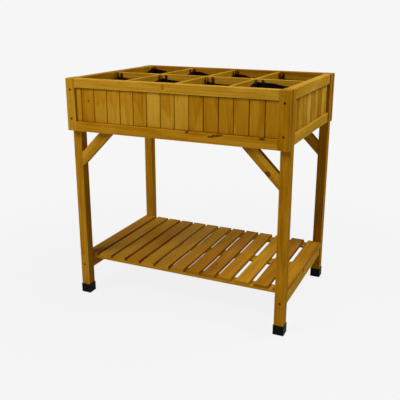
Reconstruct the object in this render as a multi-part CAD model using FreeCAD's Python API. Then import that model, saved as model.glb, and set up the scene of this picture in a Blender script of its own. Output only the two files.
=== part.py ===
import FreeCAD
import Part
import math
import os

from FreeCAD import Vector

# Raised garden bed in stained softwood, in millimetres. The origin is on the floor under the
# middle of the bed, +Z is up, +X is to the right and -Y is the front.

# Whole bed: across the foot caps, across the long panels' faces, and from floor to rim
overall_width = 788.0
overall_depth = 580.0
overall_height = 800.0

# Square legs and the moulded caps pushed over their feet
leg_size = 33.0
cap_height = 33.0
cap_wall = 2.0
cap_floor = 3.0

# Long panels: a frame of stiles and rails, filled with slats
box_height = 178.0
frame_thickness = 28.0
stile_width = 35.0
top_rail_height = 30.5
bottom_rail_height = 33.5
tenon_shoulder = 10.0

# Side panels: two rails between the legs, filled with the same slats, a little clear of the box's lower edge
side_panel_lift = 4.0
side_panel_height = box_height - side_panel_lift
side_rail_height = 34.0
side_rail_thickness = 26.0
side_setback = 4.0

# Tongued slats, set back behind the faces of the frames that hold them
slat_pitch = 50.0
slat_thickness = 10.0
slat_recess = 8.0
first_slat_width = 22.0
last_slat_least = 15.0
slat_v_depth = 1.8
groove_depth = 6.0
tongue_length = 4.0
tongue_thickness = 3.0
tongue_clearance = 0.2

# Dividers, halved together and housed in the top rails
divider_thickness = 12.0
divider_drop = 3.0
housing_clearance = 0.2

# Floor of the box: ledgers on the bottom rails, and open slats across them
ledger_lift = 14.0
ledger_height = 20.0
ledger_depth = 20.0
ledger_end_gap = 2.0
floor_slat_count = 9
floor_slat_gap = 12.0
floor_slat_thickness = 10.0
floor_end_gap = 1.0

# Fabric liners, one in each pocket
liner_clearance = 2.0
liner_floor_clearance = 0.3
liner_wall = 2.0
liner_corner = 8.0
liner_rim_drop = 25.0
tab_width = 6.5
tab_inset = 12.0
tab_drop = 4.0

# Braces at 45 degrees, from the legs up to the ledgers
brace_width = 35.0
brace_foot_drop = 129.5

# Shelf: side rails between the legs, bearers across the rails, slats on the bearers
shelf_rail_bottom = 95.0
shelf_rail_height = 35.0
shelf_bearer_height = 9.5
shelf_bearer_width = 42.0
shelf_close_slats = 10
shelf_wide_slats = 3
shelf_slat_width = 50.5
shelf_close_gap = 8.9
shelf_slat_thickness = 9.5
shelf_leg_gap = 1.0

# Countersunk wood screws and headless brads, each in a hole with a little clearance
screw_radius = 2.0
screw_head_radius = 4.0
screw_head_height = 2.6
screw_tip = 6.0
screw_recess_length = 4.6
screw_recess_width = 0.9
screw_recess_depth = 1.6
brad_radius = 0.8
fastener_clearance = 0.1
screw_mouth = 1.0

# Lengths of the fasteners, and where they go in
stile_screw_length = 45.0
stile_screw_edge = 17.0
stile_screw_drop = 37.5
stile_screw_rise = 41.5
side_screw_length = 60.0
shelf_rail_screw_length = 60.0
shelf_rail_screw_edge = 15.0
ledger_screw_rise = 5.0
ledger_screw_end = 60.0
ledger_screw_cover = 2.0
brace_screw_cover = 10.0
brace_foot_screw_length = 40.0
brace_foot_screw_rise = 20.0
shelf_screw_inset = 8.0
shelf_screw_sink = 4.0
shelf_screw_cover = 3.0
shelf_brad_cover = 3.0
shelf_fixing_offset = 6.0
floor_brad_length = 20.0

# Eased long edges of every board, less on a thin one
edge_ease = 1.5
edge_ease_share = 0.2

# Planes that the pieces share
half_width = overall_width / 2 - cap_wall
face = overall_depth / 2
leg_outer = face - frame_thickness
leg_inner = leg_outer - leg_size
leg_inside = half_width - leg_size
stile_inside = half_width - stile_width
box_bottom = overall_height - box_height
top_rail_bottom = overall_height - top_rail_height
bottom_rail_top = box_bottom + bottom_rail_height
slat_front = face - slat_recess
slat_back = slat_front - slat_thickness
long_web = slat_back - leg_outer
side_face = half_width - side_setback
side_inside = side_face - side_rail_thickness
side_slat_front = side_face - slat_recess
side_slat_back = side_slat_front - slat_thickness
side_web = side_slat_back - side_inside
side_bottom = overall_height - side_panel_height
side_top_rail_bottom = overall_height - side_rail_height
side_bottom_rail_top = side_bottom + side_rail_height
ledger_bottom = box_bottom + ledger_lift
floor_bottom = ledger_bottom + ledger_height
floor_top = floor_bottom + floor_slat_thickness
divider_top = overall_height - divider_drop
box_inside = min(leg_inside, side_inside)
shelf_rail_top = shelf_rail_bottom + shelf_rail_height
shelf_bearer_top = shelf_rail_top + shelf_bearer_height
shelf_top = shelf_bearer_top + shelf_slat_thickness
shelf_reach = leg_inner - shelf_leg_gap

LEFT_RIGHT = (("left", -1), ("right", 1))
FRONT_REAR = (("front", -1), ("rear", 1))
UP = Vector(0, 0, 1)
PARALLEL = 1e-6

# Every node's solids, and the holes still to be cut in each node
nodes = {}
holes = {}


def span(sign, a, b):
    """The stretch from a to b on one side of the bed, low end first."""
    return min(sign * a, sign * b), max(sign * a, sign * b)


def block(x, y, z):
    """A square-edged block over three stretches."""
    return Part.makeBox(x[1] - x[0], y[1] - y[0], z[1] - z[0], Vector(x[0], y[0], z[0]))


def edges_along(shape, direction):
    """The straight edges of a shape that run in a direction."""
    return [e for e in shape.Edges if e.tangentAt(e.FirstParameter).cross(direction).Length < PARALLEL]


def board(x, y, z, grain):
    """A planed board whose four edges along the grain axis (0, 1 or 2) are eased."""
    blank = block(x, y, z)
    section = [b - a for axis, (a, b) in enumerate((x, y, z)) if axis != grain]
    along = [Vector(1, 0, 0), Vector(0, 1, 0), UP][grain]
    return blank.makeFillet(min(edge_ease, edge_ease_share * min(section)), edges_along(blank, along))


def prism(points, direction):
    """A closed outline of points, carried along a direction."""
    return Part.Face(Part.makePolygon(points + points[:1])).extrude(direction)


def turned(shape):
    """The same piece, turned half round about the bed's upright axis."""
    copy = shape.copy()
    copy.rotate(Vector(0, 0, 0), UP, 180)
    return copy


def slat_outline(width, has_groove, has_tongue):
    """A slat's section: across its width, and inwards from its shown face."""
    near = (slat_thickness - tongue_thickness) / 2
    far = near + tongue_thickness
    outline = [(0, slat_v_depth), (slat_v_depth, 0), (width - slat_v_depth, 0), (width, slat_v_depth)]
    if has_tongue:
        tip = width + tongue_length
        outline += [(width, near), (tip, near), (tip, far), (width, far)]
    outline += [(width, slat_thickness), (0, slat_thickness)]
    if has_groove:
        bed = tongue_length + tongue_clearance
        near_wall = near - tongue_clearance
        far_wall = far + tongue_clearance
        outline += [(0, far_wall), (bed, far_wall), (bed, near_wall), (0, near_wall)]
    return outline


def slat_row(low, high, first_joint, place, bottom, top):
    """Slats side by side from low to high, with their joints one pitch apart."""
    joints = [low]
    joint = first_joint
    while joint < high - last_slat_least:
        joints.append(joint)
        joint += slat_pitch
    joints.append(high)
    slats = []
    for a, b in zip(joints[:-1], joints[1:]):
        outline = slat_outline(b - a, a > low, b < high)
        points = [place(a + across, inwards, bottom) for across, inwards in outline]
        slats.append(prism(points, Vector(0, 0, top - bottom)))
    return slats


def revolve(outline):
    """A round body from (radius, height) points."""
    points = [Vector(radius, 0, height) for radius, height in outline]
    return Part.Face(Part.makePolygon(points + points[:1])).revolve(Vector(0, 0, 0), UP, 360)


def screw(length):
    """A countersunk screw with a cross recess, head up at the origin."""
    body = revolve([(0, 0), (screw_head_radius, 0), (screw_radius, -screw_head_height),
                    (screw_radius, screw_tip - length), (0, -length)])
    reach = screw_recess_length / 2
    half = screw_recess_width / 2
    depth = (-screw_recess_depth, screw_recess_depth)
    slot = block((-reach, reach), (-half, half), depth)
    cross_slot = block((-half, half), (-reach, reach), depth)
    return body.cut([slot, cross_slot])


def screw_hole(length, mouth):
    """The hole that such a screw sits in, open for the mouth's length above its head."""
    head = screw_head_radius + fastener_clearance
    shank = screw_radius + fastener_clearance
    return revolve([(0, mouth), (head, mouth), (head, 0), (shank, -screw_head_height),
                    (shank, screw_tip - length), (0, -length - fastener_clearance)])


def seat(shape, head, direction):
    """Put a fastener's head at a point, with its tip in the given direction."""
    placed = shape.copy()
    placed.Placement = FreeCAD.Placement(head, FreeCAD.Rotation(Vector(0, 0, -1), direction))
    return placed


def drive_screw(group, woods, head, direction, length, mouth=screw_mouth):
    """Add a screw to its group, and bore each of the woods that it goes through."""
    nodes.setdefault(group, []).append(seat(screw(length), head, direction))
    for wood in woods:
        holes.setdefault(wood, []).append(seat(screw_hole(length, mouth), head, direction))


def drive_brad(group, woods, head, direction, length):
    """Add a headless brad to its group, and bore each of the woods that it goes through."""
    nodes.setdefault(group, []).append(Part.makeCylinder(brad_radius, length, head, direction))
    bore = Part.makeCylinder(brad_radius + fastener_clearance, length + fastener_clearance, head, direction)
    for wood in woods:
        holes.setdefault(wood, []).append(bore)


def boards_in_row(count, width, gap, low):
    """The stretches of equal boards laid side by side from low."""
    return [(low + i * (width + gap), low + i * (width + gap) + width) for i in range(count)]


# Where the dividers stand: one at mid depth, three a pocket apart across the width
CROSS_NAMES = ("left", "middle", "right")
pockets_across = len(CROSS_NAMES) + 1
pocket_width = (2 * box_inside - len(CROSS_NAMES) * divider_thickness) / pockets_across
pocket_depth = (2 * leg_outer - divider_thickness) / 2
cross_pitch = pocket_width + divider_thickness
CROSS_PLACES = [(name, (i + 1 - pockets_across / 2) * cross_pitch) for i, name in enumerate(CROSS_NAMES)]
housing_half = divider_thickness / 2 + housing_clearance
long_housing = long_web / 2
side_housing = side_web / 2

# Legs, and the caps on their feet
for end, sy in FRONT_REAR:
    for side, sx in LEFT_RIGHT:
        leg_x = span(sx, leg_inside, half_width)
        leg_y = span(sy, leg_inner, leg_outer)
        leg = board(leg_x, leg_y, (cap_floor, overall_height), 2)
        nodes[f"leg_{end}_{side}"] = [leg]
        cap_x = span(sx, leg_inside - cap_wall, half_width + cap_wall)
        cap_y = span(sy, leg_inner - cap_wall, leg_outer + cap_wall)
        cap = board(cap_x, cap_y, (0.0, cap_height), 2)
        nodes[f"foot_cap_{end}_{side}"] = [cap.cut(board(leg_x, leg_y, (cap_floor, cap_height), 2))]

# Long panels: stiles grooved for the slats, rails grooved and tenoned into the stiles
tenon_low = box_bottom + tenon_shoulder
tenon_high = overall_height - tenon_shoulder
slat_low = bottom_rail_top - groove_depth
slat_high = top_rail_bottom + groove_depth
tenon_reach = stile_inside + groove_depth
for end, sy in FRONT_REAR:
    frame_y = span(sy, leg_outer, face)
    slat_y = span(sy, slat_back, slat_front)
    for side, sx in LEFT_RIGHT:
        stile = board(span(sx, stile_inside, half_width), frame_y, (box_bottom, overall_height), 2)
        groove = block(span(sx, stile_inside, tenon_reach), slat_y, (tenon_low, tenon_high))
        nodes[f"{end}_{side}_stile"] = [stile.cut(groove)]
    inside = (-stile_inside, stile_inside)
    reach = (-tenon_reach, tenon_reach)
    rail = board(inside, frame_y, (top_rail_bottom, overall_height), 0)
    rail = rail.fuse(block(reach, slat_y, (slat_high, tenon_high)))
    rail = rail.cut(block(reach, slat_y, (top_rail_bottom, slat_high)))
    for place_name, x in CROSS_PLACES:
        housing_x = (x - housing_half, x + housing_half)
        housing_y = span(sy, leg_outer, leg_outer + long_housing)
        rail = rail.cut(block(housing_x, housing_y, (top_rail_bottom, divider_top)))
    nodes[f"{end}_top_rail"] = [rail]
    rail = board(inside, frame_y, (box_bottom, bottom_rail_top), 0)
    rail = rail.fuse(block(reach, slat_y, (tenon_low, slat_low)))
    nodes[f"{end}_bottom_rail"] = [rail.cut(block(reach, slat_y, (slat_low, bottom_rail_top)))]

nodes["front_slats"] = slat_row(
    -tenon_reach, tenon_reach, -stile_inside + first_slat_width,
    lambda across, inwards, z: Vector(across, inwards - slat_front, z), slat_low, slat_high)
nodes["rear_slats"] = [turned(slat) for slat in nodes["front_slats"]]

# Side panels: rails between the legs, grooved for slats whose joints are even about the middle
side_slat_low = side_bottom_rail_top - groove_depth
side_slat_high = side_top_rail_bottom + groove_depth
between_legs = (-leg_inner, leg_inner)
for side, sx in LEFT_RIGHT:
    rail_x = span(sx, side_inside, side_face)
    slat_x = span(sx, side_slat_back, side_slat_front)
    rail = board(rail_x, between_legs, (side_top_rail_bottom, overall_height), 1)
    rail = rail.cut(block(slat_x, between_legs, (side_top_rail_bottom, side_slat_high)))
    housing_x = span(sx, side_inside, side_inside + side_housing)
    housing_y = (-housing_half, housing_half)
    rail = rail.cut(block(housing_x, housing_y, (side_top_rail_bottom, divider_top)))
    nodes[f"{side}_top_rail"] = [rail]
    rail = board(rail_x, between_legs, (side_bottom, side_bottom_rail_top), 1)
    rail = rail.cut(block(slat_x, between_legs, (side_slat_low, side_bottom_rail_top)))
    nodes[f"{side}_bottom_rail"] = [rail]

joints_each_side = math.floor((leg_inner - last_slat_least) / slat_pitch)
nodes["right_slats"] = slat_row(
    -leg_inner, leg_inner, -joints_each_side * slat_pitch,
    lambda across, inwards, z: Vector(side_slat_front - inwards, across, z), side_slat_low, side_slat_high)
nodes["left_slats"] = [turned(slat) for slat in nodes["right_slats"]]

# Floor of the box: a ledger on each bottom rail, and slats across the two ledgers
ledger_x = (ledger_end_gap - leg_inside, leg_inside - ledger_end_gap)
floor_slat_width = (ledger_x[1] - ledger_x[0] + floor_slat_gap) / floor_slat_count - floor_slat_gap
floor_y = (floor_end_gap - leg_outer, leg_outer - floor_end_gap)
floor_places = boards_in_row(floor_slat_count, floor_slat_width, floor_slat_gap, ledger_x[0])
for end, sy in FRONT_REAR:
    ledger_y = span(sy, leg_outer - ledger_depth, leg_outer)
    nodes[f"{end}_floor_ledger"] = [board(ledger_x, ledger_y, (ledger_bottom, floor_bottom), 0)]
nodes["floor_slats"] = [board(x, floor_y, (floor_bottom, floor_top), 1) for x in floor_places]

# Dividers: the long one is slotted from above, the cross ones from below, and they interlock
divider_mid = (floor_top + divider_top) / 2
long_x = side_inside + side_housing - housing_clearance
cross_y = leg_outer + long_housing - housing_clearance
divider_half = divider_thickness / 2
long_divider = board((-long_x, long_x), (-divider_half, divider_half), (floor_top, divider_top), 0)
for place_name, x in CROSS_PLACES:
    cross = board((x - divider_half, x + divider_half), (-cross_y, cross_y), (floor_top, divider_top), 1)
    cross_slot_y = (-housing_half, housing_half)
    cross_slot = block((x - divider_half, x + divider_half), cross_slot_y, (floor_top, divider_mid))
    nodes[f"cross_divider_{place_name}"] = [cross.cut(cross_slot)]
    long_slot_x = (x - housing_half, x + housing_half)
    long_slot = block(long_slot_x, (-divider_half, divider_half), (divider_mid, divider_top))
    long_divider = long_divider.cut(long_slot)
nodes["long_divider"] = [long_divider]

# Liners: an open fabric bag in each pocket, with a pair of tabs at two opposite corners
liner_bottom = floor_top + liner_floor_clearance
liner_rim = overall_height - liner_rim_drop
tab_top = overall_height - tab_drop
liner_half_x = pocket_width / 2 - liner_clearance
liner_half_y = pocket_depth / 2 - liner_clearance


def upright_tub(half_x, half_y, bottom, top, corner):
    """A block about the upright axis, with its four upright edges rounded."""
    tub = block((-half_x, half_x), (-half_y, half_y), (bottom, top))
    return tub.makeFillet(corner, edges_along(tub, UP))


def liner_blank():
    """One liner about the upright axis: a tub with a wall, and tabs standing on its rim."""
    outer = upright_tub(liner_half_x, liner_half_y, liner_bottom, liner_rim, liner_corner)
    inner = upright_tub(liner_half_x - liner_wall, liner_half_y - liner_wall,
                        liner_bottom + liner_wall, liner_rim, liner_corner - liner_wall)
    tab_z = (liner_rim, tab_top)
    tab_far = tab_inset + tab_width
    side_tab = block((-liner_half_x, liner_wall - liner_half_x),
                     (liner_half_y - tab_far, liner_half_y - tab_inset), tab_z)
    back_tab = block((tab_inset - liner_half_x, tab_far - liner_half_x),
                     (liner_half_y - liner_wall, liner_half_y), tab_z)
    tabs = [side_tab, back_tab, turned(side_tab), turned(back_tab)]
    return outer.cut(inner).fuse(tabs).removeSplitter()


liner = liner_blank()
for end, sy in FRONT_REAR:
    for i in range(pockets_across):
        x = (i + 0.5 - pockets_across / 2) * cross_pitch
        place = liner.copy()
        place.translate(Vector(x, sy * (divider_thickness + pocket_depth) / 2, 0))
        nodes[f"liner_{end}_{i + 1}"] = [place]

# Braces: cut plumb against the leg and level under the ledger, flush with the leg's outer face
brace_foot_low = box_bottom - brace_foot_drop
brace_foot_high = brace_foot_low + brace_width * math.sqrt(2)
brace_low_run = ledger_bottom - brace_foot_low
brace_high_run = ledger_bottom - brace_foot_high
for end, sy in FRONT_REAR:
    for side, sx in LEFT_RIGHT:
        y = sy * leg_outer
        outline = [Vector(sx * leg_inside, y, brace_foot_low),
                   Vector(sx * leg_inside, y, brace_foot_high),
                   Vector(sx * (leg_inside - brace_high_run), y, ledger_bottom),
                   Vector(sx * (leg_inside - brace_low_run), y, ledger_bottom)]
        nodes[f"brace_{end}_{side}"] = [prism(outline, Vector(0, -sy * ledger_depth, 0))]

# Shelf: a set-back side rail between each pair of legs, three bearers over the rails, slats on top,
# laid closely from the left, with what room is left shared by the last gaps
for side, sx in LEFT_RIGHT:
    rail_x = span(sx, leg_inside, side_face)
    nodes[f"shelf_{side}_rail"] = [board(rail_x, between_legs, (shelf_rail_bottom, shelf_rail_top), 1)]
bearer_middle = shelf_reach - shelf_bearer_width / 2
BEARERS = (("front", -bearer_middle), ("middle", 0.0), ("rear", bearer_middle))
shelf_width = (-half_width, half_width)
for place_name, y in BEARERS:
    bearer_y = (y - shelf_bearer_width / 2, y + shelf_bearer_width / 2)
    bearer = board(shelf_width, bearer_y, (shelf_rail_top, shelf_bearer_top), 0)
    nodes[f"shelf_{place_name}_bearer"] = [bearer]
shelf_places = boards_in_row(shelf_close_slats, shelf_slat_width, shelf_close_gap, -half_width)
shelf_rest = half_width - shelf_places[-1][1]
shelf_wide_gap = shelf_rest / shelf_wide_slats - shelf_slat_width
wide_start = shelf_places[-1][1] + shelf_wide_gap
shelf_places += boards_in_row(shelf_wide_slats, shelf_slat_width, shelf_wide_gap, wide_start)
slat_length = (-shelf_reach, shelf_reach)
nodes["shelf_slats"] = [board(x, slat_length, (shelf_bearer_top, shelf_top), 1) for x in shelf_places]

# Screws at the corners: stiles to legs, legs to side rails, legs to shelf rails
side_middle = (side_face + side_inside) / 2
side_levels = (("top_rail", overall_height - side_rail_height / 2),
               ("bottom_rail", side_bottom + side_rail_height / 2))
stile_levels = (box_bottom + stile_screw_rise, overall_height - stile_screw_drop)
shelf_rail_middle = (shelf_rail_bottom + shelf_rail_top) / 2
for end, sy in FRONT_REAR:
    inwards = Vector(0, -sy, 0)
    for side, sx in LEFT_RIGHT:
        leg = f"leg_{end}_{side}"
        for z in stile_levels:
            head = Vector(sx * (half_width - stile_screw_edge), sy * face, z)
            drive_screw("stile_screws", [f"{end}_{side}_stile", leg], head, inwards, stile_screw_length)
        for rail_name, z in side_levels:
            head = Vector(sx * side_middle, sy * leg_outer, z)
            drive_screw("side_rail_screws", [leg, f"{side}_{rail_name}"], head, inwards,
                        side_screw_length, mouth=0.0)
        head = Vector(sx * (half_width - shelf_rail_screw_edge), sy * leg_outer, shelf_rail_middle)
        drive_screw("shelf_rail_screws", [leg, f"shelf_{side}_rail"], head, inwards,
                    shelf_rail_screw_length)

# Brace screws: one level through the foot into the leg, one through the head into the bottom rail
brace_foot_middle = (brace_foot_low + brace_foot_high) / 2
foot_level = brace_foot_low + brace_foot_screw_rise
foot_sink = brace_foot_screw_rise - screw_head_radius - screw_mouth
brace_head_level = (box_bottom + ledger_bottom) / 2
brace_head_x = leg_inside - (brace_head_level - brace_foot_middle)
brace_head_length = ledger_depth + frame_thickness - brace_screw_cover
for end, sy in FRONT_REAR:
    for side, sx in LEFT_RIGHT:
        brace = f"brace_{end}_{side}"
        head = Vector(sx * (leg_inside - foot_sink), sy * (leg_outer - ledger_depth / 2), foot_level)
        drive_screw("brace_screws", [brace, f"leg_{end}_{side}"], head, Vector(sx, 0, 0),
                    brace_foot_screw_length, mouth=brace_foot_screw_rise)
        head = Vector(sx * brace_head_x, sy * (leg_outer - ledger_depth), brace_head_level)
        drive_screw("brace_screws", [brace, f"{end}_bottom_rail"], head, Vector(0, sy, 0), brace_head_length)

# Floor fixings: screws through the ledgers into the rails, a brad down through each slat end
ledger_screw_length = ledger_depth + long_web - ledger_screw_cover
ledger_screw_level = ledger_bottom + ledger_screw_rise
ledger_screw_x = ledger_x[1] - ledger_screw_end
for end, sy in FRONT_REAR:
    ledger = f"{end}_floor_ledger"
    for x in (-ledger_screw_x, 0.0, ledger_screw_x):
        head = Vector(x, sy * (leg_outer - ledger_depth), ledger_screw_level)
        drive_screw("ledger_screws", [ledger, f"{end}_bottom_rail"], head, Vector(0, sy, 0),
                    ledger_screw_length)
    for low, high in floor_places:
        head = Vector((low + high) / 2, sy * (leg_outer - ledger_depth / 2), floor_top)
        drive_brad("floor_brads", ["floor_slats", ledger], head, Vector(0, 0, -1), floor_brad_length)

# Shelf fixings: screws up through the side rails into the bearers, brads up into the slats
shelf_screw_length = shelf_rail_height + shelf_bearer_height - shelf_screw_sink - shelf_screw_cover
shelf_brad_length = shelf_bearer_height + shelf_slat_thickness - shelf_brad_cover
for place_name, y in BEARERS:
    bearer = f"shelf_{place_name}_bearer"
    for side, sx in LEFT_RIGHT:
        head = Vector(sx * (leg_inside + shelf_screw_inset), y - shelf_fixing_offset,
                      shelf_rail_bottom + shelf_screw_sink)
        drive_screw("shelf_panel_screws", [f"shelf_{side}_rail", bearer], head, UP,
                    shelf_screw_length, mouth=shelf_screw_sink)
    for low, high in shelf_places:
        head = Vector((low + high) / 2, y + shelf_fixing_offset, shelf_rail_top)
        drive_brad("shelf_brads", [bearer, "shelf_slats"], head, UP, shelf_brad_length)

# Bore every piece that a fastener goes through
for wood, bores in holes.items():
    bored = []
    for solid in nodes[wood]:
        met = [bore for bore in bores if solid.BoundBox.intersect(bore.BoundBox)]
        bored.append(solid.cut(met) if met else solid)
    nodes[wood] = bored

os.makedirs("parts", exist_ok=True)
for name, solids in nodes.items():
    shape = solids[0] if len(solids) == 1 else Part.makeCompound(solids)
    shape.exportStep(f"parts/{name}.step")
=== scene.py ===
import bpy
import math
import mathutils
import numpy as np
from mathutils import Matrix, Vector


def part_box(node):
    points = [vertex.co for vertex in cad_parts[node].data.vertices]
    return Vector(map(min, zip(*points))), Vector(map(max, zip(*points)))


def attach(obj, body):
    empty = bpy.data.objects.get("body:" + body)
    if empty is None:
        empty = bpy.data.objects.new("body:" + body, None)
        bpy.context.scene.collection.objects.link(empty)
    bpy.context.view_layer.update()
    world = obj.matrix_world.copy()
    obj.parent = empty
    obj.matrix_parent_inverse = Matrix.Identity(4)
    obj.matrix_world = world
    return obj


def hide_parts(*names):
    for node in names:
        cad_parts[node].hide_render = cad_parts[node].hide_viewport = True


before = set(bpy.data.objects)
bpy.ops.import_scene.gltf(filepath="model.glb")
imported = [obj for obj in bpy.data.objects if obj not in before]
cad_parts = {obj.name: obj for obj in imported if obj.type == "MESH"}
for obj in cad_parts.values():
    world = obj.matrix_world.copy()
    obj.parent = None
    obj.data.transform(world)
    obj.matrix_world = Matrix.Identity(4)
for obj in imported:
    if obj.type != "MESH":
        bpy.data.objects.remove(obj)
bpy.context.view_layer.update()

# Legs: four square posts of planed fir, wiped with a honey-brown stain before assembly.
# They stand in the foot caps and run up to the rim, and every panel is screwed to them.


def linear(colour):
    """An sRGB hex colour in linear light: c / 12.92 up to 0.04045, ((c + 0.055) / 1.055) ** 2.4 above it."""
    channels = [int(colour[i:i + 2], 16) / 255 for i in (1, 3, 5)]
    return [c / 12.92 if c < 0.04045 else ((c + 0.055) / 1.055) ** 2.4 for c in channels] + [1.0]


def add_node(tree, kind, inputs=None, stops=None, **settings):
    """One shader node: its settings are set, and each input takes a value or a link from another node."""
    made = tree.nodes.new("ShaderNode" + kind)
    for name, value in settings.items():
        setattr(made, name, value)
    for key, value in (inputs or {}).items():
        if isinstance(value, bpy.types.NodeSocket):
            tree.links.new(value, made.inputs[key])
        else:
            made.inputs[key].default_value = value
    if stops:
        ramp = made.color_ramp.elements
        for _ in stops[2:]:
            ramp.new(0.5)
        for element, (position, colour) in zip(ramp, stops):
            element.position = position
            element.color = linear(colour) if isinstance(colour, str) else (colour, colour, colour, 1)
    return made


def new_material(name):
    """An empty node material, with its tree and its Principled shader."""
    material = bpy.data.materials.new(name)
    material.use_nodes = True
    return material, material.node_tree, material.node_tree.nodes["Principled BSDF"]


MM = 1000
GRAIN_X = (0, 0, 0)
GRAIN_Y = (0, 0, -math.pi / 2)
GRAIN_Z = (0, math.pi / 2, 0)
STAIN = [(0.0, "#DDB558"), (0.3, "#C39532"), (0.42, "#B3821E"), (0.5, "#A97412"), (0.58, "#9B6608"),
         (0.66, "#8D5704"), (0.8, "#6A3702"), (1.0, "#3A1702")]


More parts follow.
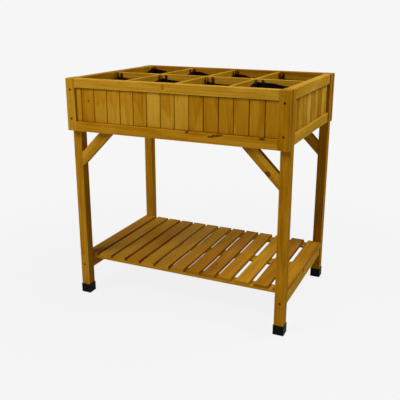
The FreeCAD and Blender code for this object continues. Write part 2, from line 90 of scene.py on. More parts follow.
def stained_fir(name, turn, number, middle, half, heart=(45, 0), tone=0.0, row=None, knots=(),
                knot_gain=0.5, edge=-0.08, gloss=0.003, figure=1.0):
    """Planed fir under a wiped stain, which shows the yearly rings, fibre streaks and knots through it.

    In millimetres from the board's middle, with the grain turned to the first axis, a depth of stain
    adds up the rings (the fraction of the wandering distance from the heart over the ring width),
    streaks and blotches (stretched noise, scaled by the figure), fibres (finer noise), the board's own
    tone, knots (distance over the knot's half length and half width), end grain (the normal along the
    grain) and arrises (distance to the nearest one). The edge gain lightens the arrises as wear when it
    is negative, and darkens them as painted shade in grooves and gaps when it is positive. A colour ramp
    paints it. A knot gives its place, half length, half width and the turned axis that it runs along,
    and it pushes the rings aside and has rings of its own. In a row of boards the whole part of a count
    across the row numbers the board, and the point is taken from that board's middle. A row of two
    stretches with their own pitch takes the lesser count and the lesser middle. The fibres are drawn
    twice as coarse as real ones, so that they show.
    """
    ring_width = 5.0
    wander_reach, heart_shift, heart_tilt = 16, 40, (0, 0.008, 0.014)
    log_spread = (4000, 300, 300)
    noise_sizes = (((400, 70, 70), 2), ((190, 5, 5), 3), ((150, 40, 40), 2), ((24, 1.6, 1.6), 2))
    ring_gain, cloud_gain, fibre_gain, end_gain, own_gain = 0.08, 0.26, 0.14, 0.04, 0.25
    flow_start, flow_end, rings_pushed = 3.4, 0.9, 1.7
    core_start, core_end, core_rings = 1.05, 0.95, 3.0
    end_start, end_full = 0.6, 0.9
    arris_start, arris_full = 2.6, 0.4
    far = 1e6

    material, tree, shader = new_material(name)
    matrix = mathutils.Euler(turn).to_matrix()
    place = add_node(tree, "TexCoord")
    scale = {"Vector": place.outputs["Object"], "Rotation": turn, "Scale": (MM, MM, MM)}
    point = add_node(tree, "Mapping", scale).outputs[0]
    local = add_node(tree, "VectorMath", {0: point, 1: middle}, operation="SUBTRACT").outputs[0]
    if row:
        axis, *stretches = row
        across_row = add_node(tree, "SeparateXYZ", {0: point}).outputs[axis]
        count, board_middle = far, far
        for start, pitch in stretches:
            step = {0: across_row, 1: 1 / pitch, 2: -start / pitch}
            step = add_node(tree, "Math", step, operation="MULTIPLY_ADD").outputs[0]
            count = add_node(tree, "Math", {0: step, 1: count}, operation="MINIMUM").outputs[0]
        count = add_node(tree, "Math", {0: count}, operation="FLOOR").outputs[0]
        for start, pitch in stretches:
            step = {0: count, 1: pitch, 2: start + pitch / 2}
            step = add_node(tree, "Math", step, operation="MULTIPLY_ADD").outputs[0]
            step = {0: step, 1: board_middle}
            board_middle = add_node(tree, "Math", step, operation="MINIMUM").outputs[0]
        number = add_node(tree, "Math", {0: count, 1: number}, operation="ADD").outputs[0]
        within = {0: across_row, 1: board_middle}
        parts = dict(enumerate(add_node(tree, "SeparateXYZ", {0: local}).outputs))
        parts[axis] = add_node(tree, "Math", within, operation="SUBTRACT").outputs[0]
        local = add_node(tree, "CombineXYZ", parts).outputs[0]
    own = add_node(tree, "TexWhiteNoise", {"W": number}, noise_dimensions="1D")
    moved = {0: own.outputs["Color"], 1: log_spread, 2: local}
    moved = add_node(tree, "VectorMath", moved, operation="MULTIPLY_ADD").outputs[0]

    noises = []
    for lengths, detail in noise_sizes:
        share = {0: moved, 1: [1 / length for length in lengths]}
        share = add_node(tree, "VectorMath", share, operation="MULTIPLY").outputs[0]
        noises.append(add_node(tree, "TexNoise", {"Vector": share, "Scale": 1.0, "Detail": detail}))
    wander, streak, blotch, fibre = noises

    bent = {0: wander.outputs["Color"], 1: (0, wander_reach, wander_reach), 2: local}
    bent = add_node(tree, "VectorMath", bent, operation="MULTIPLY_ADD").outputs[0]
    bent = {0: own.outputs["Color"], 1: (0, heart_shift, heart_shift), 2: bent}
    bent = add_node(tree, "VectorMath", bent, operation="MULTIPLY_ADD").outputs[0]
    mean_shift = (wander_reach + heart_shift) / 2
    heart_place = (0, -heart[0] - mean_shift, -heart[1] - mean_shift)
    turned = {"Vector": bent, "Location": heart_place, "Rotation": heart_tilt}
    turned = add_node(tree, "Mapping", turned).outputs[0]
    across = add_node(tree, "VectorMath", {0: turned, 1: (0, 1, 1)}, operation="MULTIPLY").outputs[0]
    reach = add_node(tree, "VectorMath", {0: across}, operation="LENGTH").outputs["Value"]
    phase = add_node(tree, "Math", {0: reach, 1: 1 / ring_width}, operation="MULTIPLY").outputs[0]

    near = None
    for x, y, z, half_length, half_width, through in knots:
        stretch = mathutils.Vector((1 / half_length, 1 / half_width, 1 / half_width))
        stretch[through] = 0.0
        centre = matrix @ mathutils.Vector((x, y, z))
        back = [-c * s for c, s in zip(centre, stretch)]
        offset = {"Vector": point, "Scale": stretch, "Location": back}
        offset = add_node(tree, "Mapping", offset).outputs[0]
        gap = add_node(tree, "VectorMath", {0: offset}, operation="LENGTH").outputs["Value"]
        if near is not None:
            gap = add_node(tree, "Math", {0: near, 1: gap}, operation="MINIMUM").outputs[0]
        near = gap
    if knots:
        flow = {0: near, 1: flow_start, 2: flow_end, 3: 0.0, 4: rings_pushed}
        flow = add_node(tree, "MapRange", flow, interpolation_type="SMOOTHSTEP").outputs[0]
        phase = add_node(tree, "Math", {0: phase, 1: flow}, operation="ADD").outputs[0]
        core = add_node(tree, "MapRange", {0: near, 1: core_start, 2: core_end}).outputs[0]
        inner = add_node(tree, "Math", {0: near, 1: core_rings}, operation="MULTIPLY").outputs[0]
        phase = add_node(tree, "Mix", {0: core, 2: phase, 3: inner}).outputs[0]
        rim = [(0.0, 0.45), (0.36, 0.4), (0.48, 1.0), (0.62, 0.0)]
        halved = add_node(tree, "Math", {0: near, 1: 0.5}, operation="MULTIPLY").outputs[0]
        knot_depth = add_node(tree, "ValToRGB", {0: halved}, stops=rim).outputs[0]

    ring = add_node(tree, "Math", {0: phase}, operation="FRACT").outputs[0]
    late_stops = [(0.0, 0.0), (0.5, 0.2), (0.82, 0.85), (0.93, 1.0), (1.0, 0.0)]
    late = add_node(tree, "ValToRGB", {0: ring}, stops=late_stops).outputs[0]

    end = {0: place.outputs["Normal"], 1: matrix.inverted() @ mathutils.Vector((1, 0, 0))}
    end = add_node(tree, "VectorMath", end, operation="DOT_PRODUCT").outputs["Value"]
    end = add_node(tree, "Math", {0: end}, operation="ABSOLUTE").outputs[0]
    end = add_node(tree, "MapRange", {0: end, 1: end_start, 2: end_full}).outputs[0]
    inset = add_node(tree, "VectorMath", {0: local}, operation="ABSOLUTE").outputs[0]
    inset = add_node(tree, "VectorMath", {0: half, 1: inset}, operation="SUBTRACT").outputs[0]
    insets = add_node(tree, "SeparateXYZ", {0: inset}).outputs
    arris = add_node(tree, "Math", {0: insets[1], 1: insets[2]}, operation="MAXIMUM").outputs[0]
    arris = add_node(tree, "Math", {0: arris, 1: insets[0]}, operation="MINIMUM").outputs[0]
    arris = add_node(tree, "MapRange", {0: arris, 1: arris_start, 2: arris_full}).outputs[0]

    cloud = cloud_gain * figure
    terms = [(late, ring_gain), (streak.outputs[0], cloud), (blotch.outputs[0], cloud),
             (fibre.outputs[0], fibre_gain), (end, end_gain), (arris, edge)]
    depth = tone + cloud_gain - cloud
    if row:
        terms.append((own.outputs["Value"], own_gain))
    else:
        depth += own_gain / 2
    if knots:
        terms.append((knot_depth, knot_gain))
    for term, gain in terms:
        depth = add_node(tree, "Math", {0: term, 1: gain, 2: depth}, operation="MULTIPLY_ADD").outputs[0]
    colour = add_node(tree, "ValToRGB", {0: depth}, stops=STAIN).outputs[0]

    height = {0: late, 1: 0.5, 2: fibre.outputs[0]}
    height = add_node(tree, "Math", height, operation="MULTIPLY_ADD").outputs[0]
    bump = add_node(tree, "Bump", {"Height": height, "Distance": 0.00025, "Strength": 0.5}).outputs[0]
    rough = {0: streak.outputs[0], 1: 0.3, 2: 0.36}
    rough = add_node(tree, "Math", rough, operation="MULTIPLY_ADD").outputs[0]
    tree.links.new(colour, shader.inputs["Base Color"])
    tree.links.new(rough, shader.inputs["Roughness"])
    tree.links.new(bump, shader.inputs["Normal"])
    shader.inputs["Specular IOR Level"].default_value = gloss
    return material


def dress(node, material):
    """Gives a piece of the frame its material."""
    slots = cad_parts[node].data.materials
    slots.clear()
    slots.append(material)


def stain(node, turn, number, middle, half, **looks):
    """Gives a piece stained fir of its own."""
    dress(node, stained_fir("stained_fir_" + node, turn, number, middle, half, **looks))


def stain_board(node, turn, number, **looks):
    """Stains one straight board: its middle and half sizes along and across the grain come from its box."""
    low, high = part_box(node)
    matrix = mathutils.Euler(turn).to_matrix()
    middle = matrix @ (low + high) * MM / 2
    half = [abs(c) for c in matrix @ (high - low) * MM / 2]
    stain(node, turn, number, middle, half, **looks)


SIDES = ("left", "right")
ENDS = ("front", "rear")
CORNERS = [f"{end}_{side}" for end in ENDS for side in SIDES]
leg_tones = (0.02, 0.07, 0.01, 0.12)
for number, (corner, tone) in enumerate(zip(CORNERS, leg_tones), 1):
    stain_board("leg_" + corner, GRAIN_Z, number, heart=(30, 14), tone=tone)

# Foot caps: square cups of black polypropylene, injection moulded, pushed over the leg ends.
# Their spark-eroded skin is matt, and scuffed a little greyer where it meets the ground.


def moulded_polypropylene(name):
    """Black moulded plastic: a fine pitted skin from noise, scuffed by a coarser noise near the floor."""
    material, tree, shader = new_material(name)
    place = add_node(tree, "TexCoord").outputs["Object"]
    pits = add_node(tree, "TexNoise", {"Vector": place, "Scale": 900.0, "Detail": 2.0}).outputs[0]
    scuff = add_node(tree, "TexNoise", {"Vector": place, "Scale": 180.0, "Detail": 4.0}).outputs[0]
    height = add_node(tree, "SeparateXYZ", {0: place}).outputs["Z"]
    low = add_node(tree, "MapRange", {0: height, 1: 0.006, 2: 0.0, 3: 0.0, 4: 0.35}).outputs[0]
    wear = add_node(tree, "Math", {0: scuff, 1: low}, operation="MULTIPLY").outputs[0]
    colour = add_node(tree, "ValToRGB", {0: wear}, stops=[(0.0, "#080808"), (0.25, "#232220")]).outputs[0]
    tree.links.new(colour, shader.inputs["Base Color"])
    rough = add_node(tree, "Math", {0: scuff, 1: 0.25, 2: 0.45}, operation="MULTIPLY_ADD").outputs[0]
    tree.links.new(rough, shader.inputs["Roughness"])
    bump = add_node(tree, "Bump", {"Height": pits, "Distance": 0.0002, "Strength": 0.4}).outputs[0]
    tree.links.new(bump, shader.inputs["Normal"])
    shader.inputs["Specular IOR Level"].default_value = 0.05
    return material


cap_plastic = moulded_polypropylene("moulded_polypropylene")
for corner in CORNERS:
    dress("foot_cap_" + corner, cap_plastic)

# Long panels: top and bottom rails tenoned into two stiles at the front and at the rear.
# All four are grooved planks of the same stained fir, and screws through the stiles hold them.
# Each stile has a dark line painted where it meets its leg, as painted shade of the gap there, and the front
# rails show knots and a torn streak.
top_knots = [(-21.6, -290, 789, 5, 7.5, 1)]
bottom_knots = [(62, -290, 653, 5, 3.5, 1), (143, -290, 645, 9, 2.4, 1), (159, -290, 649, 11, 3, 1),
                (173, -290, 652, 9, 2.4, 1), (309, -290, 652, 9, 3, 1)]
stain_board("front_top_rail", GRAIN_X, 11, tone=-0.08, knots=top_knots, knot_gain=0.32)
stain_board("front_bottom_rail", GRAIN_X, 12, tone=0.025, knots=bottom_knots, knot_gain=0.65)
stain_board("rear_top_rail", GRAIN_X, 13, tone=0.1)
stain_board("rear_bottom_rail", GRAIN_X, 14, tone=0.03)
stile_tones = (-0.03, 0.09, 0.02, 0.1)
# The painted shade along each stile's joint with its leg is drawn as a long, thin knot.
joint_shade_half_width = 5.0
for number, (corner, tone) in enumerate(zip(CORNERS, stile_tones), 15):
    low, high = [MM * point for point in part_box(corner + "_stile")]
    joint_y = high.y if corner.startswith("front") else low.y
    joint_shade_line = [(0, joint_y, (low.z + high.z) / 2, high.z - low.z, joint_shade_half_width, 2)]
    stain_board(corner + "_stile", GRAIN_Z, number, tone=tone, knots=joint_shade_line, knot_gain=0.9)

# Panel slats: tongued fir slats that slide into the frames' grooves, each from another log, which the
# slat's number picks. The shallow V where two slats meet is darkened by the edge gain, as painted shade in
# the groove.
# The side panels are framed by a rail above and below, screwed through the legs.
slat_pitch = 50
first_slat_width = 22
front_number, rear_number = 15492286, 21
stile_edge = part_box("front_left_stile")[1].x * -MM
row_start = stile_edge - first_slat_width + slat_pitch
panel_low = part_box("front_bottom_rail")[1].z * MM
panel_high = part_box("front_top_rail")[0].z * MM
slat_middle = ((panel_low + panel_high) / 2, 0, 0)
slat_half = ((panel_high - panel_low) / 2, 0, slat_pitch / 2)
slat_knots = [(-307, -282, 727, 3.5, 3, 1)]
# The positive edge gains on the panel slats paint shade into the V joints between them.
stain("front_slats", GRAIN_Z, front_number, slat_middle, slat_half, tone=-0.054, edge=0.27, figure=0.7,
      row=(2, (row_start, -slat_pitch)), knots=slat_knots)
stain("rear_slats", GRAIN_Z, rear_number, slat_middle, slat_half, edge=0.3,
      row=(2, (-row_start, slat_pitch)))
side_half = (slat_half[0], slat_pitch / 2, 0)
side_tones = {"left": (0.13, 0.02), "right": (-0.07, -0.05)}
side_knots = {"left": (), "right": [(380, -147, 742, 3.5, 3, 2)]}
for number, side in enumerate(SIDES, 23):
    top_tone, bottom_tone = side_tones[side]
    stain_board(f"{side}_top_rail", GRAIN_Y, number, tone=top_tone)
    stain_board(f"{side}_bottom_rail", GRAIN_Y, number + 2, tone=bottom_tone)
    stain(f"{side}_slats", GRAIN_Z, 100 * number, slat_middle, side_half, heart=(0, 45), edge=0.3,
          row=(1, (0, slat_pitch)), knots=side_knots[side])

# Floor of the box: open slats of the same fir, which carry the liners and let water through.
# They are bradded to two ledgers, which are screwed along the bottom rails inside the box.
for number, end in enumerate(ENDS, 31):
    stain_board(f"{end}_floor_ledger", GRAIN_X, number)
floor_low, floor_high = [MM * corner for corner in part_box("floor_slats")]
floor_count, floor_gap, floor_number = 9, 12, 33
floor_pitch = (floor_high.x - floor_low.x + floor_gap) / floor_count
past_the_ends = 1000
floor_half = (past_the_ends, (floor_pitch - floor_gap) / 2, (floor_high.z - floor_low.z) / 2)
floor_middle = (0, 0, (floor_high.z + floor_low.z) / 2)
stain("floor_slats", GRAIN_Y, floor_number, floor_middle, floor_half, heart=(0, 45),
      row=(1, (-floor_low.x + floor_gap / 2, -floor_pitch)))

# Dividers: one long board and three cross boards of thin fir that part the box into eight pockets.
# They are halved together where they cross, and housed in grooves of the rails.
stain_board("long_divider", GRAIN_X, 35, tone=-0.05)
for number, place_name in enumerate(("left", "middle", "right"), 36):
    stain_board("cross_divider_" + place_name, GRAIN_Y, number)

# Braces: four diagonal struts of fir that stiffen the legs, in the planes of the long panels.
# Their ends are cut at 45 degrees, and screwed to the legs and to the bottom rails.
brace_width = 35
brace_tones = (0.0, 0.07, 0.02, 0.08)
brace_knots = {"front_right": [(323, -262, 540, 8, 6, 1)]}
for number, (corner, tone) in enumerate(zip(CORNERS, brace_tones), 41):
    turn = (0, math.radians(45 if corner.endswith("left") else 135), 0)
    low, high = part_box("brace_" + corner)
    middle = mathutils.Euler(turn).to_matrix() @ (low + high) * MM / 2
    half = (past_the_ends, (high.y - low.y) * MM / 2, brace_width / 2)
    stain("brace_" + corner, turn, number, middle, half, heart=(40, 8), tone=tone,
          knots=brace_knots.get(corner, ()))

# Shelf: two rails between the legs, three bearers across them and thirteen slats on top, of which the
# last three lie wider apart. All are stained fir, screwed from below through the rails and bradded
# through the bearers.
shelf_rail_tones = (0.0, -0.03)
for number, (side, tone) in enumerate(zip(SIDES, shelf_rail_tones), 51):
    stain_board(f"shelf_{side}_rail", GRAIN_Y, number, tone=tone)
for number, place_name in enumerate(("front", "middle", "rear"), 53):
    stain_board(f"shelf_{place_name}_bearer", GRAIN_X, number)
shelf_low, shelf_high = [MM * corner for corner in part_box("shelf_slats")]
shelf_slat, close_gap, shelf_number = 50.5, 8.9, 1970992
close_count, wide_count = 10, 3
close_pitch = shelf_slat + close_gap
last_close_middle = shelf_low.x + (close_count - 1) * close_pitch + shelf_slat / 2
wide_pitch = (shelf_high.x - shelf_slat / 2 - last_close_middle) / wide_count
shelf_half = (past_the_ends, shelf_slat / 2, (shelf_high.z - shelf_low.z) / 2)
shelf_middle = (0, 0, (shelf_high.z + shelf_low.z) / 2)
shelf_row = [((close_count - 0.5) * pitch - last_close_middle, -pitch) for pitch in (close_pitch, wide_pitch)]
# The shelf slats' edges are darkened by the edge gain, as painted shade in the gaps between them.
stain("shelf_slats", GRAIN_Y, shelf_number, shelf_middle, shelf_half, heart=(0, 45), tone=0.03, edge=0.3,
      gloss=0.02, figure=0.6, row=(1, *shelf_row))

# Screws and brads: countersunk wood screws with a dark brown coating, and plain steel brads.
# The coating is thin, so it is worn lighter where the driver has rubbed it.


def fastener_steel(name, deep, worn, metallic):
    """Steel, coated or bare, which goes from its deep to its worn colour in patches of noise."""
    material, tree, shader = new_material(name)
    place = add_node(tree, "TexCoord").outputs["Object"]
    wear = add_node(tree, "TexNoise", {"Vector": place, "Scale": 700.0, "Detail": 3.0}).outputs[0]
    colour = add_node(tree, "ValToRGB", {0: wear}, stops=[(0.35, deep), (0.7, worn)]).outputs[0]
    tree.links.new(colour, shader.inputs["Base Color"])
    rough = add_node(tree, "Math", {0: wear, 1: -0.3, 2: 0.6}, operation="MULTIPLY_ADD").outputs[0]
    tree.links.new(rough, shader.inputs["Roughness"])
    shader.inputs["Specular IOR Level"].default_value = 0.05
    shader.inputs["Metallic"].default_value = metallic
    return material


coated_steel = fastener_steel("coated_steel", "#2A1C0A", "#4E3A1C", 0.0)
bare_steel = fastener_steel("bare_steel", "#6B6762", "#A09B94", 1.0)
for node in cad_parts:
    if node.endswith("_screws"):
        dress(node, coated_steel)
    elif node.endswith("_brads"):
        dress(node, bare_steel)

# Liners: one open bag of black needle-punched felt stands in each pocket, on the floor slats.
# It is folded up from one cut piece, sewn at the corners and hemmed inwards at the rim, and its
# walls fold and lean in a little between the corners. Two corners of each stand up by webbing loops.
felt_thickness = 1.4
webbing_thickness = 0.9
bag_gap = 1.2
bag_lift = 0.1
bag_corner = 10.0
base_edge = 7.0
hem_turn = 1.6
hem_drop = 12.0
stitch_drop = 9.0
stitch_pitch = 6.0
half_stitch = 2.0
loop_width = 6.5
loop_top = 795.4
wave_scale = MM * 2 * math.pi / 20


def felt_material(name):
    """Needle-punched felt: matted fibres without a weave, so clumps of 4 mm and fibres of 1.2 mm by noise.

    It takes nearly all light, and its loose fibre ends give a faint sheen at a glance.
    """
    material, tree, shader = new_material(name)
    place = add_node(tree, "TexCoord").outputs["Object"]
    clump = add_node(tree, "TexNoise", {"Vector": place, "Scale": 250.0, "Detail": 3.0}).outputs[0]
    fibre = {"Vector": place, "Scale": 800.0, "Detail": 3.0, "Distortion": 1.5}
    fibre = add_node(tree, "TexNoise", fibre).outputs[0]
    mat = add_node(tree, "Math", {0: clump, 1: 0.6, 2: fibre}, operation="MULTIPLY_ADD").outputs[0]
    colour = add_node(tree, "ValToRGB", {0: mat}, stops=[(0.5, "#0A0402"), (1.0, "#21130D")]).outputs[0]
    tree.links.new(colour, shader.inputs["Base Color"])
    bump = add_node(tree, "Bump", {"Height": mat, "Distance": 0.0008, "Strength": 0.6}).outputs[0]
    tree.links.new(bump, shader.inputs["Normal"])
    shader.inputs["Roughness"].default_value = 0.95
    shader.inputs["Specular IOR Level"].default_value = 0.01
    shader.inputs["Sheen Weight"].default_value = 0.005
    shader.inputs["Sheen Roughness"].default_value = 0.5
    return material


def webbing_material(name):
    """Woven polypropylene webbing: twill ribs along the strap, crossed by picks.

    Both are waves over the strap's own width and length, with their gaps in millimetres, and the ribs
    catch a dull gloss. A wave texture has one band in a length of 2 pi over 20 times its scale.
    """
    rib_gap, pick_gap = 2.0, 1.6
    material, tree, shader = new_material(name)
    strap = add_node(tree, "UVMap", uv_map="strap").outputs[0]
    ribs = {"Vector": strap, "Scale": wave_scale / rib_gap, "Distortion": 0.0}
    ribs = add_node(tree, "TexWave", ribs, bands_direction="X").outputs["Fac"]
    picks = {"Vector": strap, "Scale": wave_scale / pick_gap, "Distortion": 0.0}
    picks = add_node(tree, "TexWave", picks, bands_direction="Y").outputs["Fac"]
    weave = add_node(tree, "Math", {0: ribs, 1: picks}, operation="MULTIPLY").outputs[0]
    colour = add_node(tree, "ValToRGB", {0: weave}, stops=[(0.0, "#421703"), (1.0, "#652D0A")]).outputs[0]
    tree.links.new(colour, shader.inputs["Base Color"])
    bump = add_node(tree, "Bump", {"Height": weave, "Distance": 0.0003, "Strength": 0.7}).outputs[0]
    tree.links.new(bump, shader.inputs["Normal"])
    shader.inputs["Roughness"].default_value = 0.8
    shader.inputs["Specular IOR Level"].default_value = 0.02
    return material


def thread_material(name):
    """Spun polyester sewing thread: twisted plies, a slanted band wave with a soft gloss."""
    ply_gap = 1.2
    material, tree, shader = new_material(name)
    place = add_node(tree, "TexCoord").outputs["Object"]
    plies = {"Vector": place, "Scale": wave_scale / ply_gap}
    plies = add_node(tree, "TexWave", plies, bands_direction="DIAGONAL").outputs["Fac"]
    colour = add_node(tree, "ValToRGB", {0: plies}, stops=[(0.0, "#0B0A0A"), (1.0, "#1F1C1B")]).outputs[0]
    tree.links.new(colour, shader.inputs["Base Color"])
    shader.inputs["Roughness"].default_value = 0.6
    shader.inputs["Specular IOR Level"].default_value = 0.1
    return material


def new_piece(name, points, faces, material):
    """A smooth mesh object at the origin, from points in millimetres and lists of faces."""
    mesh = bpy.data.meshes.new(name)
    mesh.from_pydata((points.reshape(-1, 3) / MM).tolist(), [], faces)
    mesh.materials.append(material)
    mesh.shade_smooth()
    piece = bpy.data.objects.new(name, mesh)
    bpy.context.scene.collection.objects.link(piece)
    return piece


def grid_faces(rows, columns, closed):
    """The quads of a grid of rows and columns. A closed one joins its last column to the first."""
    index = np.arange(rows * columns).reshape(rows, columns)
    after = np.roll(index, -1, axis=1)
    quads = np.stack([index[:-1], after[:-1], after[1:], index[1:]], axis=-1)
    return (quads if closed else quads[:, :-1]).reshape(-1, 4)


class Bag:
    """One liner's plan and rim, in columns round the bag, anticlockwise from the rear end of the right wall.

    Knots stand where the four corner arcs and four walls meet. Between them the core rectangle's point
    and the normal's angle run straight, and the plan is the core plus the corner radius along the
    normal. The rim is a level, plus a rise at each corner (one less the square of the way from it over
    the length of the rise), plus a small wave.
    """

    def __init__(self, node, level, peak, fall):
        low, high = [MM * np.array(corner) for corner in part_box(node)]
        self.middle = (low + high)[:2] / 2
        self.half = (high - low)[:2] / 2 - bag_gap
        self.bottom = low[2] + felt_thickness / 2 + bag_lift
        arc_steps, end_steps, side_steps = 8, 30, 44
        steps = (arc_steps, end_steps, arc_steps, side_steps) * 2
        stretch = np.concatenate([k + np.arange(n) / n for k, n in enumerate(steps)])
        knots = np.arange(9)
        angle = np.radians(np.interp(stretch, knots, (0, 90, 90, 180, 180, 270, 270, 360, 360)))
        signs = np.array([(1, 1), (1, 1), (-1, 1), (-1, 1), (-1, -1), (-1, -1), (1, -1), (1, -1), (1, 1)])
        core = np.stack([np.interp(stretch, knots, signs[:, k]) for k in (0, 1)], axis=-1)
        self.core = core * (self.half - bag_corner)
        self.normal = np.stack([np.cos(angle), np.sin(angle)], axis=-1)
        share = np.where(stretch.astype(int) % 2 == 1, stretch % 1, 0.0)
        self.slack = 4 * share * (1 - share)
        outline = self.plan(0.0)
        lengths = np.hypot(*(np.roll(outline, -1, axis=0) - outline).T)
        self.round = lengths.sum()
        self.walked = np.concatenate([[0.0], np.cumsum(lengths)[:-1]])
        self.turn = 2 * math.pi * self.walked / self.round
        self.phase = self.middle[0] * 0.031 + self.middle[1] * 0.017
        wave = 0.7 * np.sin(4 * self.turn + self.phase) + 0.5 * np.sin(9 * self.turn + 2 * self.phase)
        self.rim = level + wave
        corner_rises = ((0.5, 3.0, 30), (2.5, peak - level, fall), (4.5, 3.0, 30), (6.5, 4.0, 30))
        for corner, rise, length in corner_rises:
            away = np.abs(self.walked - np.interp(corner, stretch, self.walked))
            away = np.minimum(away, self.round - away)
            self.rim = self.rim + rise * np.clip(1 - (away / length) ** 2, 0, 1)

    def plan(self, inset):
        """Points of the plan, moved in by an inset: core plus (corner radius less inset) times the normal."""
        return self.middle + self.core + (bag_corner - np.asarray(inset))[..., None] * self.normal

    def lean(self, share):
        """How far the wall leans in at a share of its height.

        The wall's bow goes with the share's square, and its upright folds go with the share.
        """
        bow, fold_depth = 5.0, 0.9
        folds = 2 + np.sin(13 * self.turn + self.phase) + np.sin(21 * self.turn - 3 * self.phase)
        return self.slack * (bow * share ** 2 + fold_depth * folds * share)


def felt_bag(bag):
    """Points in rows from the base's middle out, round its edge, up the wall, over the rim and down the hem.

    Base rows scale the plan about its middle, the edge and the rim are arcs, and the wall is straight rows
    with its lean.
    """
    flat = np.array([0.15, 0.35, 0.55, 0.75, 0.92])[:, None, None]
    base = bag.middle + flat * (bag.plan(np.full(bag.rim.shape, base_edge)) - bag.middle)
    arc = np.radians(np.linspace(0, 90, 5))[:, None]
    up = np.linspace(0.07, 1, 13)[:, None]
    over = np.radians(np.linspace(36, 180, 5))[:, None]
    drop = np.array([4.0, 8.0, hem_drop])[:, None]
    foot = bag.bottom + base_edge
    lean = bag.lean(np.ones((1, 1)))
    insets = np.concatenate([base_edge * (1 - np.sin(arc)) + 0 * bag.rim, bag.lean(up),
                             lean + hem_turn * (1 - np.cos(over)), lean + 2 * hem_turn + 0 * drop])
    heights = np.concatenate([bag.bottom + base_edge * (1 - np.cos(arc)) + 0 * bag.rim,
                              foot + up * (bag.rim - foot), bag.rim + hem_turn * np.sin(over),
                              bag.rim - drop])
    rows = np.concatenate([base, bag.plan(insets)])
    heights = np.concatenate([np.full(base.shape[:2], bag.bottom), heights])
    points = np.concatenate([rows, heights[..., None]], axis=-1)
    columns = len(bag.rim)
    quads = grid_faces(len(points), columns, True) + 1
    first = np.arange(columns) + 1
    fan = np.stack([np.zeros(columns, int), np.roll(first, -1), first], axis=-1)
    pole = np.array([[*bag.middle, bag.bottom]])
    return np.concatenate([pole, points.reshape(-1, 3)]), fan.tolist() + quads.tolist()


def hem_stitches(bag):
    """Stitches along the hem: spindles of four hexagonal rings, each at its step of the way round.

    A stitch's point is its place on the hem, plus a run along the seam, plus a radius on a circle of the
    inward normal and the upright.
    """
    number = round(bag.round / stitch_pitch)
    at = (np.arange(number) + 0.5) * bag.round / number
    seam = bag.plan(bag.lean(np.ones((1, 1)))[0] + 2 * hem_turn + felt_thickness / 2)
    seam = np.concatenate([seam, (bag.rim - stitch_drop)[:, None]], axis=-1)
    path = np.append(bag.walked, bag.round)
    seam = np.concatenate([seam, seam[:1]])
    ends = [np.stack([np.interp((at + step) % bag.round, path, seam[:, k]) for k in range(3)], axis=-1)
            for step in (-half_stitch, half_stitch)]
    middle = (ends[0] + ends[1]) / 2
    along = (ends[1] - ends[0]) / np.linalg.norm(ends[1] - ends[0], axis=1, keepdims=True)
    upright = np.array([0.0, 0.0, 1.0])
    inward = np.cross(upright, along)
    run = np.array([-half_stitch, -1.1, 1.1, half_stitch])[None, :, None, None]
    radius = np.array([0.15, 0.5, 0.5, 0.15])[None, :, None, None]
    angle = np.radians(np.arange(6) * 60)[None, None, :, None]
    middle, along, inward = [a[:, None, None, :] for a in (middle, along, inward)]
    points = middle + run * along + radius * (np.cos(angle) * inward + np.sin(angle) * upright)
    quads = grid_faces(4, 6, True)
    caps = np.array([[5, 4, 3, 2, 1, 0], [18, 19, 20, 21, 22, 23]])
    starts = 24 * np.arange(number)[:, None, None]
    return points, (quads + starts).reshape(-1, 4).tolist() + (caps + starts).reshape(-1, 6).tolist()


def webbing_loops(bag, side_inset, back_inset):
    """Four straps beside the rear left and front right corners: a profile up, over and down, carried across.

    The profile is an inset from the bag's outside and a height. The loop's two legs go down between the
    wall and the turned hem, and a strap starts its inset away from the corner, on the side or the back.
    The strap's edges curl by a sine over its width.
    """
    width = np.linspace(0, loop_width, 6)
    inner_leg, outer_leg, half_apart, bend, top_clear = 2.5, 0.9, 0.8, 0.6, 0.4
    curl, curl_length, tuck = 0.35, 2.2, 7
    lowest = bag.rim.min() - tuck
    shoulder = loop_top - bend - top_clear
    rise = np.linspace(0, 1, 9)
    arc = np.radians(np.linspace(0, 180, 7))
    between = (inner_leg + outer_leg) / 2
    inset = np.concatenate([np.full(rise.shape, inner_leg), between + half_apart * np.cos(arc),
                            np.full(rise.shape, outer_leg)])
    height = np.concatenate([lowest + rise * (shoulder - lowest), shoulder + bend * np.sin(arc),
                             shoulder - rise * (shoulder - lowest)])
    inset, height = inset[:, None] + 0 * width, height[:, None] + curl * np.sin(width / curl_length)
    along = -bag.half[0] + back_inset + width + 0 * inset
    rear = np.stack([along, bag.half[1] - inset, height], axis=-1)
    beside = bag.half[1] - side_inset - loop_width + width + 0 * inset
    left = np.stack([-bag.half[0] + inset, beside, height], axis=-1)
    straps = np.stack([rear, left, rear * (-1, -1, 1), left * (-1, -1, 1)]) + (*bag.middle, 0)
    quads = grid_faces(len(height), len(width), False)
    starts = height.size * np.arange(4)[:, None, None]
    lengths = np.concatenate([[0.0], np.cumsum(np.hypot(np.diff(inset[:, 0]), np.diff(height[:, 0])))])
    strap = np.stack([width + 0 * height, lengths[:, None] + 0 * height], axis=-1)
    return straps, (quads + starts).reshape(-1, 4).tolist(), np.tile(strap.reshape(-1, 2), (4, 1)) / MM


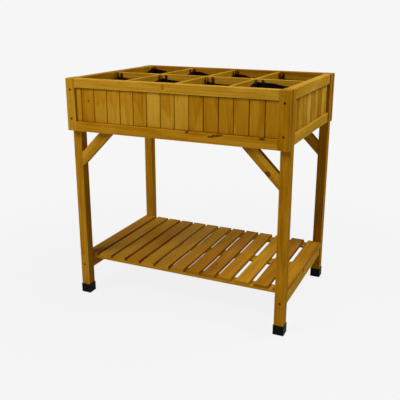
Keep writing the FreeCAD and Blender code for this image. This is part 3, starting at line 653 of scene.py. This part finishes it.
felt = felt_material("needle_punched_felt")
webbing = webbing_material("woven_polypropylene_webbing")
thread = thread_material("spun_polyester_thread")
rims = {"liner_front_1": (773.5, 775.5, 80, 13, 6.5), "liner_front_2": (773, 779.5, 85, 16, 12.5),
        "liner_front_3": (771.5, 775, 60, 20, 15), "liner_front_4": (774, 786, 115, 18, 18),
        "liner_rear_1": (772, 787, 80, 14, 4), "liner_rear_2": (771, 784, 75, 26, 1),
        "liner_rear_3": (770, 780.5, 65, 24, 5), "liner_rear_4": (766, 770, 50, 13, 8)}
for node, (level, peak, fall, side_inset, back_inset) in rims.items():
    bag = Bag(node, level, peak, fall)
    shell = new_piece(node + "_bag", *felt_bag(bag), felt)
    wall = shell.modifiers.new("felt", "SOLIDIFY")
    wall.thickness = felt_thickness / MM
    wall.offset = 0.0
    stitches = new_piece(node + "_stitches", *hem_stitches(bag), thread)
    straps, strap_faces, strap_map = webbing_loops(bag, side_inset, back_inset)
    loops = new_piece(node + "_loops", straps, strap_faces, webbing)
    corners = np.array(strap_faces).reshape(-1)
    loops.data.uv_layers.new(name="strap").data.foreach_set("uv", strap_map[corners].reshape(-1))
    band = loops.modifiers.new("webbing", "SOLIDIFY")
    band.thickness = webbing_thickness / MM
    band.offset = 0.0
    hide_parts(node)
    for piece in (shell, stitches, loops):
        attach(piece, node)

# Studio: a white paper floor that runs out of sight, and round soft lamps high at the front left,
# at the right and behind. The floor lights the bed from below as real paper does, and the camera
# sees it and the backdrop at one pale grey, with a faint shadow near the bed.
backdrop = linear("#F6F6F6")
sky = bpy.data.worlds.new("studio")
bpy.context.scene.world = sky
sky.use_nodes = True
sky_tree = sky.node_tree


def seen_directly(tree):
    """1 on rays that the camera, a reflection or glass sends out, and 0 on the rays that light the bed."""
    path = add_node(tree, "LightPath").outputs
    seen = {0: path["Is Camera Ray"], 1: path["Is Glossy Ray"]}
    seen = add_node(tree, "Math", seen, operation="MAXIMUM").outputs[0]
    seen = {0: seen, 1: path["Is Transmission Ray"]}
    return add_node(tree, "Math", seen, operation="MAXIMUM").outputs[0]


def direction(azimuth, elevation):
    """A unit vector from the bed: (sin a cos e, -cos a cos e, sin e), from two angles in degrees.

    The azimuth a is measured from the front, positive to the right, and e is the elevation.
    """
    a, e = math.radians(azimuth), math.radians(elevation)
    return mathutils.Vector((math.sin(a) * math.cos(e), -math.cos(a) * math.cos(e), math.sin(e)))


ambient = 0.05
sky_shader = sky_tree.nodes["Background"]
sky_shader.inputs["Color"].default_value = backdrop
strength = add_node(sky_tree, "Mix", {0: seen_directly(sky_tree), 2: ambient, 3: 1.0}).outputs[0]
sky_tree.links.new(strength, sky_shader.inputs["Strength"])

white, cool = (1.0, 1.0, 1.0), (0.96, 1.06, 1.12)
lamp_size, lamp_distance = 2.0, 3.5
lamp_aim = mathutils.Vector((0, 0, 0.5))
for name, azimuth, elevation, power, colour in (("front_lamp", -26, 41, 89, white),
                                                ("right_lamp", 107, 52, 92, cool),
                                                ("rear_lamp", 160, 42, 12, white)):
    lamp = bpy.data.lights.new(name, "AREA")
    lamp.shape = "DISK"
    lamp.size = lamp_size
    lamp.energy = power
    lamp.color = colour
    lamp_object = bpy.data.objects.new(name, lamp)
    bpy.context.scene.collection.objects.link(lamp_object)
    towards = direction(azimuth, elevation)
    lamp_object.location = lamp_aim + lamp_distance * towards
    lamp_object.rotation_euler = towards.to_track_quat("Z", "Y").to_euler()
    lamp_object.visible_camera = False

floor_mesh = bpy.data.meshes.new("floor")
floor_reach = 30.0
floor_corners = [(x * floor_reach, y * floor_reach, 0) for x, y in ((-1, -1), (1, -1), (1, 1), (-1, 1))]
floor_mesh.from_pydata(floor_corners, [], [(0, 1, 2, 3)])
floor = bpy.data.objects.new("floor", floor_mesh)
bpy.context.scene.collection.objects.link(floor)
floor_paper, floor_tree, floor_shader = new_material("floor_paper")
floor_mesh.materials.append(floor_paper)
floor_shader.inputs["Base Color"].default_value = linear("#E1E1E1")
floor_shader.inputs["Roughness"].default_value = 0.9
floor_shader.inputs["Specular IOR Level"].default_value = 0.0
place = add_node(floor_tree, "TexCoord").outputs["Object"]
away = add_node(floor_tree, "VectorMath", {0: place}, operation="LENGTH").outputs["Value"]
shadow = {0: away, 1: 0.5, 2: 1.6, 3: 0.07, 4: 0.0}
shadow = add_node(floor_tree, "MapRange", shadow, interpolation_type="SMOOTHSTEP").outputs[0]
pale = add_node(floor_tree, "Emission", {"Color": backdrop, "Strength": 1.0}).outputs[0]
shaded = add_node(floor_tree, "MixShader", {0: shadow, 1: pale, 2: floor_shader.outputs[0]}).outputs[0]
shown = {0: seen_directly(floor_tree), 1: floor_shader.outputs[0], 2: shaded}
shown = add_node(floor_tree, "MixShader", shown).outputs[0]
floor_tree.links.new(shown, floor_tree.nodes["Material Output"].inputs["Surface"])

# Camera: where the photograph was taken from, from a fit of the bed's edges to it.
# It stands to the right of the front, a little above the rim, and its lens is shifted as the frame is.
image_side = 400
focal_pixels = 584.69
middle_pixel = (206.18, 183.933)
distance = 2.179
roll = math.radians(0.2104)
target = mathutils.Vector((0, 0, 0.4))
back = direction(24.007, 16.227)
camera = bpy.data.cameras.new("camera")
camera.sensor_width = 36.0
camera.lens = focal_pixels / image_side * camera.sensor_width
camera.shift_x = (image_side / 2 - middle_pixel[0]) / image_side
camera.shift_y = (middle_pixel[1] - image_side / 2) / image_side
camera_object = bpy.data.objects.new("camera", camera)
bpy.context.scene.collection.objects.link(camera_object)
camera_object.location = target + back * distance
camera_object.rotation_mode = "QUATERNION"
rolled = mathutils.Quaternion((0, 0, 1), roll)
camera_object.rotation_quaternion = (-back).to_track_quat("-Z", "Y") @ rolled
bpy.context.scene.camera = camera_object
bpy.context.scene.view_settings.view_transform = "Standard"
